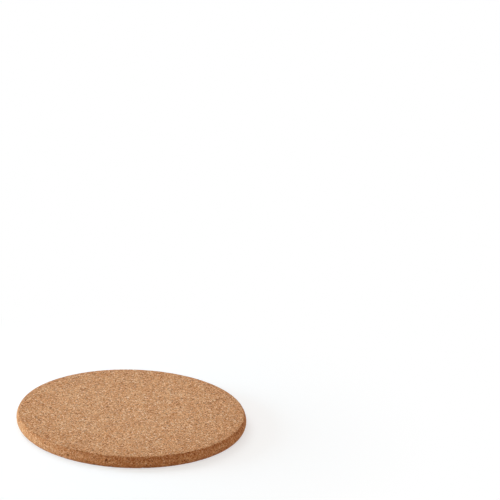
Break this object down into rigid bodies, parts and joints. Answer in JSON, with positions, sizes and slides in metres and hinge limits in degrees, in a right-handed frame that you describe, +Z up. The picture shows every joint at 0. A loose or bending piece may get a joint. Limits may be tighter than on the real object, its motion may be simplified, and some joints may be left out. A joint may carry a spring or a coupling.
{
  "type": "trivet",
  "caption": "Round trivet of pressed granulated cork: a solid disc with two flat faces and a bellied side between sanded corners, laid under hot cookware.",
  "frame": {"origin": "centre of the underside, on the surface that the trivet lies on", "axes": "+Z up, from the underside to the top face, along the disc's axis; X and Y are any two directions across the disc"},
  "size_m": [0.19, 0.19, 0.01],
  "materials": {
    "cork": "sanded agglomerated cork, matt, uncoated"
  },
  "bodies": {
    "root": {"cork_disc": "cork"}
  },
  "joints": []
}
